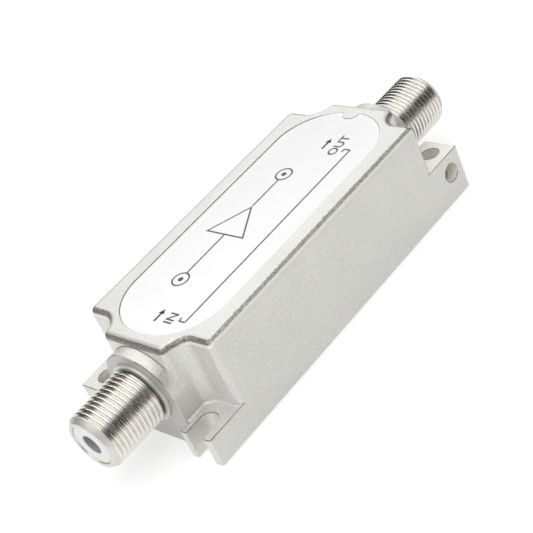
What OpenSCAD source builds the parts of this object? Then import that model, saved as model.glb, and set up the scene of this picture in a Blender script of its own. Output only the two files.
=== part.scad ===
// In-line amplifier for the cable of a satellite dish.
// A die-cast housing carries a threaded coaxial socket on each end, a circuit board
// hangs on pegs inside it, and a stamped plate closes the base.
// Millimetres, +Z up. The origin is on the base plane, under the middle of the housing.
// X runs along the cable: the input socket is at -X and the output socket at +X.

/* [Housing] */
// Length of the housing between its two end walls
body_len = 56.6; // [54:0.2:64]
// Width of the housing
body_w = 26; // [25:0.2:32]
// Height of the housing
body_h = 16.8; // [16.4:0.2:20]
// Thickness of the side walls and of the roof
wall = 1.8; // [1.4:0.1:2.2]
// Radius of the rounded top edge and of the upright outer corners
edge_r = 1.1; // [0.4:0.1:1.2]

/* [Corner notches] */
// Length of a side wall between its two notches
side_len = 49.8; // [46:0.2:51]
// Width of an end wall between its two notches
end_w = 13; // [12.2:0.2:13.4]
// Radius of the hollow that joins an end wall to a side wall
hollow_r = 3.2; // [2.6:0.1:4]

/* [Mounting ears] */
// Length over the ears
ears_len = 63.8; // [62.4:0.2:70]
// Height of the two ears with round holes
tall_ear_h = 7.9; // [7.4:0.1:9]
// Height of the two ears with open slots
low_ear_h = 5; // [3:0.1:7]
// Distance of the holes and slots from the middle, along the housing
ear_hole_x = 28.9; // [28.4:0.1:29.4]
// Diameter of the upright screw holes
ear_hole_d = 3; // [2.4:0.1:3.4]
// Diameter of the screw holes in the side faces
side_hole_d = 3.1; // [2.4:0.1:3.4]
// Height of the screw holes in the side faces
side_hole_z = 4.7; // [4:0.1:5.2]
// Width of the open slots
slot_w = 3.4; // [2.6:0.1:3.8]
// Radius of the corners of the ears
ear_corner_r = 0.4; // [0.2:0.1:0.6]

/* [Sockets] */
// Height of the socket axis above the base
axis_z = 9.05; // [8.6:0.05:9.4]
// Radius of the cast boss around a socket
boss_r = 6.75; // [6.7:0.05:7.2]
// How far a boss stands out from the end wall
boss_out = 1.9; // [1.2:0.1:2.4]
// Outer diameter of the socket thread
thread_d = 9.525; // [9.2:0.025:10]
// Length of the socket from the boss to its tip
socket_len = 11.1; // [9:0.1:14]
// Diameter of the flange that meets the boss
flange_d = 10.4; // [10.2:0.1:12]
// Thickness of the flange
flange_t = 0.5; // [0.3:0.1:1]
// Length of the plain neck between flange and thread
neck_len = 0.4; // [0.2:0.1:0.8]
// Depth of the neck and of the chamfer below the thread diameter
thread_depth = 0.45; // [0.3:0.05:0.6]
// Length of the chamfer at the tip
tip_chamfer = 0.9; // [0.5:0.1:1.4]
// Diameter of the part of the socket inside the boss
spigot_d = 9.2; // [8.6:0.1:10]
// Diameter of the bore that holds the insulators
bore_d = 7; // [6.4:0.1:7.4]
// Diameter of the pin hole in the front insulator
pin_hole_d = 3.3; // [2.6:0.1:4]
// Depth of the pin hole in the front insulator
pin_hole_depth = 3; // [2:0.1:4]
// How far the insulator face lies behind the tip
face_inset = 0.15; // [0:0.05:0.4]

/* [Contacts] */
// Outer diameter of the spring contact
contact_d = 2; // [1.6:0.1:2.4]
// Diameter of the hole in the spring contact
contact_bore_d = 1; // [0.8:0.1:1.2]
// Length of the spring contact without its tail
contact_len = 12; // [10:0.2:13]
// Width of the slots between the spring fingers
finger_slot = 0.3; // [0.2:0.05:0.5]
// Diameter of the solder tail
tail_d = 0.9; // [0.7:0.05:1]
// Length of the tail over the board
tail_reach = 2.4; // [1.6:0.1:3]

/* [Base plate] */
// Thickness of the base plate
plate_t = 0.8; // [0.5:0.1:1.2]
// How far the plate lies inside the base plane
plate_inset = 0.2; // [0.1:0.05:0.5]
// Depth of the pressed panel in the plate
panel_depth = 0.3; // [0.1:0.05:0.35]
// Width of the flat border around the pressed panel
panel_border = 3; // [2:0.2:5]

/* [Label] */
// Length of the label recess
label_len = 52.4; // [44:0.2:53]
// Width of the label recess
label_w = 19.2; // [15:0.2:20]
// Corner radius of the label recess
label_r = 9; // [5:0.2:9.4]
// Depth of the label recess
label_depth = 0.3; // [0.2:0.05:0.4]
// Thickness of the label
label_t = 0.15; // [0.1:0.05:0.2]
// Radius of the round tab that bites into the far end of the label
tab_r = 1.6; // [1:0.1:2.4]
// Offset of the round tab from the middle of the housing
tab_y = 0.5; // [-1:0.1:1]

/* [Circuit board] */
// Thickness of the circuit board
board_t = 1; // [0.8:0.1:1.6]
// Gap between the board and the walls
board_gap = 0.4; // [0.3:0.1:0.8]
// Diameter of the cast posts that carry the board
post_d = 3.2; // [2.4:0.1:4]
// Diameter of the pegs that pass through the board
peg_d = 1.2; // [0.9:0.1:1.6]
// How far the pegs stand out below the board
peg_out = 0.6; // [0.4:0.1:1]
// Distance of the pegs from the edges of the board
peg_inset = 2.6; // [2.4:0.1:3.4]
// Distance of the outer rows of parts from the long edges of the board
row_inset = 5.3; // [4:0.1:6]
// Distance of the coupling capacitors and chokes from the short edges of the board
coupling_inset = 9.7; // [8.6:0.1:11]
// Distance of the transistors from the short edges of the board
stage_inset = 16.7; // [15.4:0.1:17.6]

/* [Fits] */
// Clearance of seated and pressed pieces, on each side
fit = 0.05; // [0.02:0.01:0.1]
// Clearance of the pegs in the board and of the plate in its rebate, on each side
loose_fit = 0.1; // [0.05:0.05:0.2]

/* [Hidden] */
$fn = 64;

// Directions of the two ends along X
INPUT = -1;
OUTPUT = 1;

// Extra length that lets a cutting shape pass the face that it cuts
past = 1;

// Outline of the housing: half sizes and the hollow of the notches
end_x = body_len / 2;
side_y = body_w / 2;
notch_x = side_len / 2;
notch_y = end_w / 2;
web_start = 0.05;
hollow_x = notch_x + hollow_r - web_start;
corner_start_x = end_x - edge_r;
hollow_y = notch_y + sqrt(hollow_r ^ 2 - (hollow_x - corner_start_x) ^ 2);
ear_x = ears_len / 2;
ear_mid_y = (boss_r + side_y) / 2;

// Inside of the housing
cavity_x = notch_x - wall;
cavity_y = side_y - wall;
cavity_r = 2;
roof_z = body_h - label_depth - wall;
rebate = wall / 2;
rebate_depth = plate_t + plate_inset;

// Sockets: distances from the middle plane, along X
boss_x = end_x + boss_out;
tip_x = boss_x + socket_len;
flange_x = boss_x + flange_t;
thread_x = flange_x + neck_len;
face_x = tip_x - face_inset;
contact_tip_x = face_x - pin_hole_depth;
contact_rear_x = contact_tip_x - contact_len;
insulator_split_x = (contact_tip_x + contact_rear_x) / 2;
tail_end_x = cavity_x - board_gap - tail_reach;

// Circuit board, with its parts on the lower face
board_z = axis_z + tail_d / 2;
board_len = 2 * (cavity_x - board_gap);
board_w = 2 * (cavity_y - board_gap);
peg_x = board_len / 2 - peg_inset;
peg_y = board_w / 2 - peg_inset;
coupling_x = board_len / 2 - coupling_inset;
stage_x = board_len / 2 - stage_inset;
choke_y = board_w / 2 - row_inset;
supply_y = -choke_y;

// Rounded rectangle, centred on the origin
module round_rect(len, wid, r) {
  square([len - 2 * r, wid], center = true);
  square([len, wid - 2 * r], center = true);
  for (x = [-1, 1], y = [-1, 1])
    translate([x * (len / 2 - r), y * (wid / 2 - r)])
      circle(r);
}

// Turns a shape that stands on the Z axis to lie on the socket axis, pointing to one end
module toward(end) {
  translate([0, 0, axis_z])
    rotate([0, end * 90, 0])
      children();
}

// Block on the base plane with rounded upright corners and a rounded top edge
module soft_block(len, wid) {
  x = len / 2 - edge_r;
  y = wid / 2 - edge_r;
  z = body_h - edge_r;
  linear_extrude(z)
    round_rect(len, wid, edge_r);
  translate([-x, -y, 0])
    cube([2 * x, 2 * y, body_h]);
  for (side = [-1, 1]) {
    translate([-x, side * y, z])
      rotate([0, 90, 0])
        cylinder(h = 2 * x, r = edge_r);
    translate([side * x, y, z])
      rotate([90, 0, 0])
        cylinder(h = 2 * y, r = edge_r);
    for (along = [-1, 1])
      translate([along * x, side * y, z])
        sphere(edge_r);
  }
}

// Web that rounds the inner corner of one notch, with its own rounded top edge.
// Its hollow starts where the rounded corner of the end wall stops, and just behind
// the other wall, so that it meets both at a shallow angle.
module notch_web() {
  back = hollow_r + edge_r + past;
  over = hollow_x - corner_start_x;
  translate([hollow_x, hollow_y, 0])
    difference() {
      translate([-back, -back, 0])
        cube([back - over, back, body_h]);
      translate([0, 0, -past])
        cylinder(h = body_h + 2 * past, r = hollow_r);
      translate([0, 0, body_h - edge_r])
        rotate_extrude()
          difference() {
            square([hollow_r + edge_r, edge_r + past]);
            translate([hollow_r + edge_r, 0])
              circle(edge_r);
          }
    }
}

// Solid form of the housing above and between the ears
module body_form() {
  soft_block(side_len, body_w);
  soft_block(body_len, end_w);
  for (x = [0, 1], y = [0, 1])
    mirror([x, 0, 0])
      mirror([0, y, 0])
        notch_web();
}

// Cast boss of the +X end: a half round above, straight sides down to the base
module boss_form() {
  rotate([90, 0, 90])
    translate([0, 0, cavity_x + past])
      linear_extrude(boss_x - cavity_x - past) {
        translate([0, axis_z])
          circle(boss_r);
        translate([-boss_r, 0])
          square([2 * boss_r, axis_z]);
      }
}

// Ear form of the +X +Y corner
module ear_form(high) {
  root_x = notch_x - past;
  linear_extrude(high) {
    translate([root_x, notch_y - past])
      square([end_x - root_x, side_y - notch_y + past]);
    translate([(root_x + ear_x) / 2, ear_mid_y])
      round_rect(ear_x - root_x, side_y - boss_r, ear_corner_r);
  }
}

// Upright hole of the tall ear and the hole that meets it from the side face
module tall_ear_cut() {
  translate([ear_hole_x, ear_mid_y, -past])
    cylinder(h = tall_ear_h + 2 * past, d = ear_hole_d);
  translate([ear_hole_x, ear_mid_y, side_hole_z])
    rotate([-90, 0, 0])
      cylinder(h = side_y - ear_mid_y + past, d = side_hole_d);
}

// Slot of the low ear, open toward the end
module low_ear_cut() {
  translate([ear_hole_x, ear_mid_y, -past])
    linear_extrude(low_ear_h + 2 * past) {
      circle(d = slot_w);
      translate([0, -slot_w / 2])
        square([ear_x - ear_hole_x + past, slot_w]);
    }
}

// Outline of the label recess, or of the label itself when drawn in by a clearance
module label_outline(gap) {
  difference() {
    round_rect(label_len - 2 * gap, label_w - 2 * gap, label_r - gap);
    translate([label_len / 2, tab_y])
      circle(tab_r + gap);
  }
}

// Places a copy at each peg of the board
module at_pegs() {
  for (x = [-1, 1], y = [-1, 1])
    translate([x * peg_x, y * peg_y, 0])
      children();
}

// Posts under the roof that carry the board, with pegs that pass through it
module board_posts() {
  top_z = board_z + board_t;
  at_pegs() {
    translate([0, 0, top_z])
      cylinder(h = roof_z - top_z + past / 2, d = post_d);
    translate([0, 0, board_z - peg_out])
      cylinder(h = board_t + peg_out + past / 2, d = peg_d);
  }
}

// Hollow of the housing, with the rebate for the base plate
module cavity_cut() {
  translate([0, 0, -past])
    linear_extrude(roof_z + past)
      round_rect(2 * cavity_x, 2 * cavity_y, cavity_r);
  translate([0, 0, -past])
    linear_extrude(rebate_depth + past)
      round_rect(2 * (cavity_x + rebate), 2 * (cavity_y + rebate), cavity_r + rebate);
}

module housing() {
  color("gainsboro") {
    difference() {
      union() {
        body_form();
        for (turn = [0, 180])
          rotate([0, 0, turn]) {
            boss_form();
            ear_form(low_ear_h);
            mirror([0, 1, 0])
              ear_form(tall_ear_h);
          }
      }
      for (turn = [0, 180])
        rotate([0, 0, turn]) {
          low_ear_cut();
          mirror([0, 1, 0])
            tall_ear_cut();
        }
      for (end = [INPUT, OUTPUT])
        toward(end)
          cylinder(h = boss_x + past, d = spigot_d + 2 * fit);
      translate([0, 0, body_h - label_depth])
        linear_extrude(label_depth + past)
          label_outline(0);
      cavity_cut();
    }
    board_posts();
  }
}

module bottom_cover() {
  len = 2 * (cavity_x + rebate - loose_fit);
  wid = 2 * (cavity_y + rebate - loose_fit);
  color("silver")
    translate([0, 0, plate_inset])
      difference() {
        linear_extrude(plate_t)
          round_rect(len, wid, cavity_r + rebate - loose_fit);
        translate([0, 0, -past])
          linear_extrude(panel_depth + past)
            round_rect(len - 2 * panel_border, wid - 2 * panel_border, cavity_r);
      }
}

module top_label() {
  color("white")
    translate([0, 0, body_h - label_depth])
      linear_extrude(label_t)
        label_outline(loose_fit);
}

// Threaded barrel of a socket: spigot, flange, neck, thread and chamfered tip
module connector_shell(end) {
  bore_r = bore_d / 2;
  spigot_r = spigot_d / 2;
  thread_r = thread_d / 2;
  neck_r = thread_r - thread_depth;
  color("lightgray")
    toward(end)
      rotate_extrude()
        polygon([
          [bore_r, cavity_x], [spigot_r, cavity_x],
          [spigot_r, boss_x], [flange_d / 2, boss_x],
          [flange_d / 2, flange_x], [neck_r, flange_x],
          [neck_r, thread_x], [thread_r, thread_x],
          [thread_r, tip_x - tip_chamfer], [neck_r, tip_x],
          [bore_r, tip_x]
        ]);
}

// Front insulator: the white disc with the pin hole, and the sleeve behind it
module front_insulator(end) {
  outer_r = bore_d / 2 - fit;
  sleeve_r = contact_d / 2 + fit;
  color("white")
    toward(end)
      rotate_extrude()
        polygon([
          [sleeve_r, insulator_split_x], [outer_r, insulator_split_x],
          [outer_r, face_x], [pin_hole_d / 2, face_x],
          [pin_hole_d / 2, contact_tip_x], [sleeve_r, contact_tip_x]
        ]);
}

// Rear insulator: holds the shoulder of the contact and lets its tail through
module rear_insulator(end) {
  outer_r = bore_d / 2 - fit;
  sleeve_r = contact_d / 2 + fit;
  tail_r = tail_d / 2 + fit;
  color("ivory")
    toward(end)
      rotate_extrude()
        polygon([
          [tail_r, cavity_x], [outer_r, cavity_x],
          [outer_r, insulator_split_x], [sleeve_r, insulator_split_x],
          [sleeve_r, contact_rear_x], [tail_r, contact_rear_x]
        ]);
}

// Spring contact with four fingers and a solder tail
module center_contact(end) {
  bore_x = insulator_split_x - past;
  finger_x = insulator_split_x;
  color("goldenrod")
    toward(end)
      difference() {
        union() {
          translate([0, 0, contact_rear_x])
            cylinder(h = contact_len, d = contact_d);
          translate([0, 0, tail_end_x])
            cylinder(h = contact_rear_x - tail_end_x + past, d = tail_d);
        }
        translate([0, 0, bore_x])
          cylinder(h = contact_tip_x - bore_x + past, d = contact_bore_d);
        for (turn = [0, 90])
          rotate([0, 0, turn])
            translate([-contact_d, -finger_slot / 2, finger_x])
              cube([2 * contact_d, finger_slot, contact_tip_x - finger_x + past]);
      }
}

module circuit_board() {
  color("seagreen")
    translate([0, 0, board_z])
      difference() {
        linear_extrude(board_t)
          round_rect(board_len, board_w, cavity_r - board_gap);
        at_pegs()
          translate([0, 0, -past])
            cylinder(h = board_t + 2 * past, d = peg_d + 2 * loose_fit);
      }
}

// Hangs a part below the board, with its own top on the lower face of the board
module on_board(x, y, turn = 0) {
  translate([x, y, board_z])
    rotate([180, 0, turn])
      children();
}

// Chip part: a body between two metal end caps that stand a little proud of it
module chip(len, wid, high, cap) {
  proud = 0.05;
  translate([-len / 2 + cap / 2, -wid / 2 + proud, 0])
    cube([len - cap, wid - 2 * proud, high - proud]);
  for (side = [-1, 1])
    translate([side * (len - cap) / 2 - cap / 2, -wid / 2, 0])
      cube([cap, wid, high]);
}

// Moulded part with flat leads on its two long sides
module moulded(len, wid, high, leads, lead_w, lead_out) {
  lead_t = 0.2;
  pitch = len / leads;
  translate([-len / 2, -wid / 2, 0])
    cube([len, wid, high]);
  for (side = [-1, 1], i = [0 : leads - 1])
    translate([(i - (leads - 1) / 2) * pitch - lead_w / 2, side * (wid + lead_out) / 2 - lead_out / 2, 0])
      cube([lead_w, lead_out, lead_t]);
}

module first_stage_transistor() {
  color("dimgray")
    on_board(-stage_x, 0)
      moulded(2, 1.3, 0.9, 2, 0.4, 0.5);
}

module second_stage_transistor() {
  color("dimgray")
    on_board(stage_x, 0)
      moulded(2.9, 1.6, 1.1, 2, 0.5, 0.6);
}

// One capacitor in the signal path
module coupling_capacitor(x) {
  color("tan")
    on_board(x, 0)
      chip(1.6, 0.8, 0.8, 0.35);
}

// One moulded choke beside the signal path
module bias_choke(x) {
  color("slategray")
    on_board(x, choke_y, 90)
      chip(4.5, 3.2, 2.6, 0.8);
}

module supply_choke() {
  color("slategray")
    on_board(0, choke_y)
      chip(4.5, 3.2, 2.6, 0.8);
}

module voltage_regulator() {
  color("dimgray")
    on_board(0, supply_y)
      moulded(4.5, 2.5, 1.5, 3, 0.6, 0.8);
}

module protection_diode() {
  color("dimgray")
    on_board(coupling_x, supply_y)
      chip(4.3, 2.6, 2.2, 0.7);
}

module supply_capacitor() {
  color("orange")
    on_board(-coupling_x, supply_y)
      chip(3.5, 2.8, 1.9, 0.8);
}

module bypass_capacitors() {
  color("tan")
    for (x = [-1, 1], y = [-1, 1])
      on_board(x * stage_x, y * supply_y / 2, 90)
        chip(1.6, 0.8, 0.8, 0.35);
}

module chip_resistors() {
  color("black")
    for (x = [-1, 1], y = [-1, 1])
      on_board(x * (stage_x + coupling_x) / 2, y * supply_y / 2, 90)
        chip(1.6, 0.8, 0.5, 0.3);
}

// Solder at the end of each contact tail: a dome on the board in front of the tail
module contact_solder_joints() {
  dome_r = tail_d;
  color("lightsteelblue")
    for (end = [INPUT, OUTPUT])
      on_board(end * (tail_end_x - dome_r), 0)
        intersection() {
          sphere(dome_r);
          translate([-dome_r, -dome_r, 0])
            cube(2 * dome_r);
        }
}

// Solder ring between each peg and the ground plane of the board
module ground_solder_joints() {
  inner_r = peg_d / 2 + fit;
  color("lightsteelblue")
    at_pegs()
      translate([0, 0, board_z])
        mirror([0, 0, 1])
          rotate_extrude()
            polygon([[inner_r, 0], [2 * inner_r, 0], [inner_r, peg_out]]);
}

housing();
bottom_cover();
top_label();
connector_shell(INPUT);  // input_connector_shell
front_insulator(INPUT);  // input_front_insulator
rear_insulator(INPUT);  // input_rear_insulator
center_contact(INPUT);  // input_center_contact
connector_shell(OUTPUT);  // output_connector_shell
front_insulator(OUTPUT);  // output_front_insulator
rear_insulator(OUTPUT);  // output_rear_insulator
center_contact(OUTPUT);  // output_center_contact
circuit_board();
first_stage_transistor();
second_stage_transistor();
coupling_capacitor(INPUT * coupling_x);  // input_coupling_capacitor
coupling_capacitor(0);  // interstage_coupling_capacitor
coupling_capacitor(OUTPUT * coupling_x);  // output_coupling_capacitor
bias_choke(INPUT * coupling_x);  // input_bias_choke
bias_choke(OUTPUT * coupling_x);  // output_bias_choke
supply_choke();
voltage_regulator();
protection_diode();
supply_capacitor();
bypass_capacitors();
chip_resistors();
contact_solder_joints();
ground_solder_joints();
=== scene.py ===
"""Studio scene of an in-line amplifier for the cable of a satellite dish.

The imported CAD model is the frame: a die-cast housing with a threaded socket on each end.
This script gives each piece its surface detail and its finish. Sizes are in millimetres
inside the piece classes and become metres when a piece is finished.
"""

from __future__ import annotations

import logging
import math
from dataclasses import dataclass, field
from enum import Enum, IntEnum
from typing import Callable, Iterable, Sequence, Union

import bmesh
import bpy
from mathutils import Matrix, Vector


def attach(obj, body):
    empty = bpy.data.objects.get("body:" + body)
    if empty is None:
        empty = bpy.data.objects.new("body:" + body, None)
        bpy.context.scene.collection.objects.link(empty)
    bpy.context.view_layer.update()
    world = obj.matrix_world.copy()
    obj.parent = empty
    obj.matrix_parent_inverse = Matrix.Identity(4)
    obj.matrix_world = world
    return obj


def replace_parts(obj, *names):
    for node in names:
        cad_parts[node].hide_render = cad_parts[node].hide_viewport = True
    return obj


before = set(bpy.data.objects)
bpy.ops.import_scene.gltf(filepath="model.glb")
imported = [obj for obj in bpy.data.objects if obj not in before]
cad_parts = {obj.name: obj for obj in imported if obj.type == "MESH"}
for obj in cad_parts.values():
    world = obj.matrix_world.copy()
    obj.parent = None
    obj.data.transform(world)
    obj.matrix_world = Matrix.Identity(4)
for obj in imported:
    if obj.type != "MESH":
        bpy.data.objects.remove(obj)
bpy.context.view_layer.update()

LOG = logging.getLogger("amplifier")
MM = 0.001
BODY = "root"

# Height of the axis of both sockets, in millimetres
AXIS_Z = 9.05

# Slack of comparisons, in millimetres: of places, and of radii measured on flat facets
NEAR = 0.01
FACET = 0.03

# Slack of cuts and merges, in millimetres
HAIR = 0.0005

# Least share of a normal along an axis that counts as straight along it
STRAIGHT = 0.99

# Least bend of an edge that counts as a square corner, in degrees
SQUARE = 60.0

Colour = tuple[float, float, float]
Tone = Union[Colour, bpy.types.NodeSocket]
Profile = Sequence[tuple[float, float]]


def is_near(first: float, second: float, within: float = NEAR) -> bool:
    """Whether two lengths are the same but for a slack."""
    return abs(first - second) < within


def once(things: Iterable) -> list:
    """The things in their order, each of them once."""
    return list(dict.fromkeys(things))


def off_axis(spot: Vector, axis_z: float = 0.0) -> float:
    """Distance of a spot from an axis along X at a height."""
    return math.hypot(spot.y, spot.z - axis_z)


class End(Enum):
    """The two ends of the housing, with the turn about Z that brings a +X piece there."""

    INPUT = 180.0
    OUTPUT = 0.0

    @property
    def label(self) -> str:
        """Prefix of the node names of this end."""
        return self.name.lower()

    @property
    def place(self) -> Matrix:
        """Place at this end of a piece that is built for the +X end around the X axis."""
        return Matrix.Translation((0, 0, AXIS_Z)) @ Matrix.Rotation(math.radians(self.value), 4, "Z")


class Skin(IntEnum):
    """Finishes of the faces of the casting, in the order of its materials."""

    CAST = 0
    # Painted shade: dark lines on the upward rims and in the boss crease
    WORN = 1
    # Walls of the screw holes, made pale as painted light
    BORED_LIGHTENED = 2
    # Turned front of a boss, also made darker as painted shade
    FACED_SHADED = 3


class Plating(IntEnum):
    """Finishes of the faces of a barrel, in the order of its materials."""

    THREAD = 0
    TURNED = 1
    # Painted shade in the neck groove between flange and thread
    SHADED_NECK = 2


# Node trees


class Sheet:
    """Node tree of one material, grown node by node."""

    def __init__(self, name: str) -> None:
        """Starts a material with its Principled shader.

        Args:
            name: Name of the material.
        """
        self.material = bpy.data.materials.new(name)
        self.material.use_nodes = True
        self.nodes = self.material.node_tree.nodes
        self.links = self.material.node_tree.links
        self.shader = self.nodes["Principled BSDF"]

    def add(self, kind: str, inputs: dict | None = None, **settings: object) -> bpy.types.Node:
        """Adds one node.

        Args:
            kind: Node type.
            inputs: Values or output sockets by input name or number.
            settings: Properties of the node.

        Returns:
            The new node.
        """
        node = self.nodes.new(kind)
        for name, value in settings.items():
            setattr(node, name, value)
        self.fill(node, inputs or {})
        return node

    def fill(self, node: bpy.types.Node, inputs: dict) -> None:
        """Sets or links inputs of a node.

        Args:
            node: The node.
            inputs: Values or output sockets by input name or number.
        """
        for name, value in inputs.items():
            if isinstance(value, bpy.types.NodeSocket):
                self.links.new(value, node.inputs[name])
            else:
                node.inputs[name].default_value = value

    def place(self, scale: Sequence[float] = (1, 1, 1)) -> bpy.types.NodeSocket:
        """Object coordinates, stretched.

        Args:
            scale: Stretch along the three axes.

        Returns:
            Vector output.
        """
        where = self.add("ShaderNodeTexCoord").outputs["Object"]
        return self.add("ShaderNodeMapping", {"Vector": where, "Scale": scale}).outputs["Vector"]

    def noise(self, size_mm: float, detail: float = 2.0,
              scale: Sequence[float] = (1, 1, 1)) -> bpy.types.NodeSocket:
        """Noise with features of about a given size.

        Args:
            size_mm: Size of the features.
            detail: Octaves.
            scale: Stretch along the three axes.

        Returns:
            Value output, from 0 to 1.
        """
        inputs = {"Vector": self.place(scale), "Scale": 1 / (size_mm * MM), "Detail": detail}
        return self.add("ShaderNodeTexNoise", inputs).outputs["Fac"]

    def spread(self, value: bpy.types.NodeSocket, low: float, high: float,
               middle: float = 0.2) -> bpy.types.NodeSocket:
        """Maps the middle of a noise to a range.

        Args:
            value: Value output, from 0 to 1.
            low: Result at the low end.
            high: Result at the high end.
            middle: Half width of the noise band that is used.

        Returns:
            Value output.
        """
        inputs = {0: value, 1: 0.5 - middle, 2: 0.5 + middle, 3: low, 4: high}
        return self.add("ShaderNodeMapRange", inputs).outputs[0]

    def calc(self, kind: str, *values: float | bpy.types.NodeSocket) -> bpy.types.NodeSocket:
        """Value output of a sum on numbers or value outputs."""
        return self.add("ShaderNodeMath", dict(enumerate(values)), operation=kind).outputs[0]

    def ramp(self, value: bpy.types.NodeSocket, start: float, stop: float, low: float = 0.0,
             high: float = 1.0) -> bpy.types.NodeSocket:
        """Maps a range of lengths to a range of values.

        Args:
            value: Length output, in metres.
            start: Length at the low value, in millimetres.
            stop: Length at the high value, in millimetres.
            low: Low value.
            high: High value.

        Returns:
            Value output.
        """
        inputs = {0: value, 1: start * MM, 2: stop * MM, 3: low, 4: high}
        return self.add("ShaderNodeMapRange", inputs).outputs[0]

    def blend(self, value: bpy.types.NodeSocket, low: Tone, high: Tone) -> bpy.types.NodeSocket:
        """Mixes two colours by a value.

        Args:
            value: Value output, from 0 to 1.
            low: Colour, or colour output, at 0.
            high: Colour, or colour output, at 1.

        Returns:
            Colour output.
        """
        ends = [end if isinstance(end, bpy.types.NodeSocket) else (*end, 1) for end in (low, high)]
        mix = self.add("ShaderNodeMix", {0: value, 6: ends[0], 7: ends[1]}, data_type="RGBA")
        return mix.outputs[2]

    def bump(self, height: bpy.types.NodeSocket, depth_mm: float, strength: float = 1.0,
             under: bpy.types.NodeSocket | None = None) -> bpy.types.NodeSocket:
        """Turns a height into a normal.

        Args:
            height: Value output, from 0 to 1.
            depth_mm: Depth of the relief.
            strength: Share of the relief that shows.
            under: Normal of a coarser relief below this one.

        Returns:
            Normal output.
        """
        inputs = {"Height": height, "Distance": depth_mm * MM, "Strength": strength}
        if under is not None:
            inputs["Normal"] = under
        return self.add("ShaderNodeBump", inputs).outputs["Normal"]

    def done(self, **inputs: object) -> bpy.types.Material:
        """Sets the shader's inputs, named with underscores for spaces, and returns the material."""
        self.fill(self.shader, {name.replace("_", " "): value for name, value in inputs.items()})
        return self.material


# Finishes


MADE: dict["Finish", bpy.types.Material] = {}


@dataclass(frozen=True)
class Finish:
    """A surface finish: its name, the record's slot, its two tones, its gloss and its patterns.

    The sizes of the coarse and the fine pattern and the depth of the relief are in millimetres.
    The pair called uneven is added to the roughness at the two ends of a pattern.
    """

    name: str
    slot: str
    tone: Colour
    deep: Colour
    rough: float = 0.4
    metal: float = 0.0
    coarse: float = 1.2
    fine: float = 0.12
    relief: float = 0.004
    uneven: tuple[float, float] = (-0.05, 0.05)

    def material(self) -> bpy.types.Material:
        """The finish as a material, made once."""
        if self not in MADE:
            MADE[self] = self.mix(Sheet(self.name))
        return MADE[self]

    def gloss(self, sheet: Sheet, pattern: bpy.types.NodeSocket) -> bpy.types.NodeSocket:
        """Roughness that follows a pattern."""
        low, high = self.uneven
        return sheet.spread(pattern, self.rough + low, self.rough + high)

    def mix(self, sheet: Sheet) -> bpy.types.Material:
        """Plain moulded or plated surface: cloudy tone, uneven gloss and a faint relief.

        Args:
            sheet: Empty node tree.

        Returns:
            The material.
        """
        cloud = sheet.noise(self.coarse, detail=3)
        fine = sheet.noise(self.fine)
        return sheet.done(
            Base_Color=sheet.blend(sheet.spread(cloud, 0, 1), self.deep, self.tone),
            Roughness=self.gloss(sheet, fine),
            Metallic=self.metal,
            Normal=sheet.bump(fine, self.relief, strength=0.5),
        )


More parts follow.
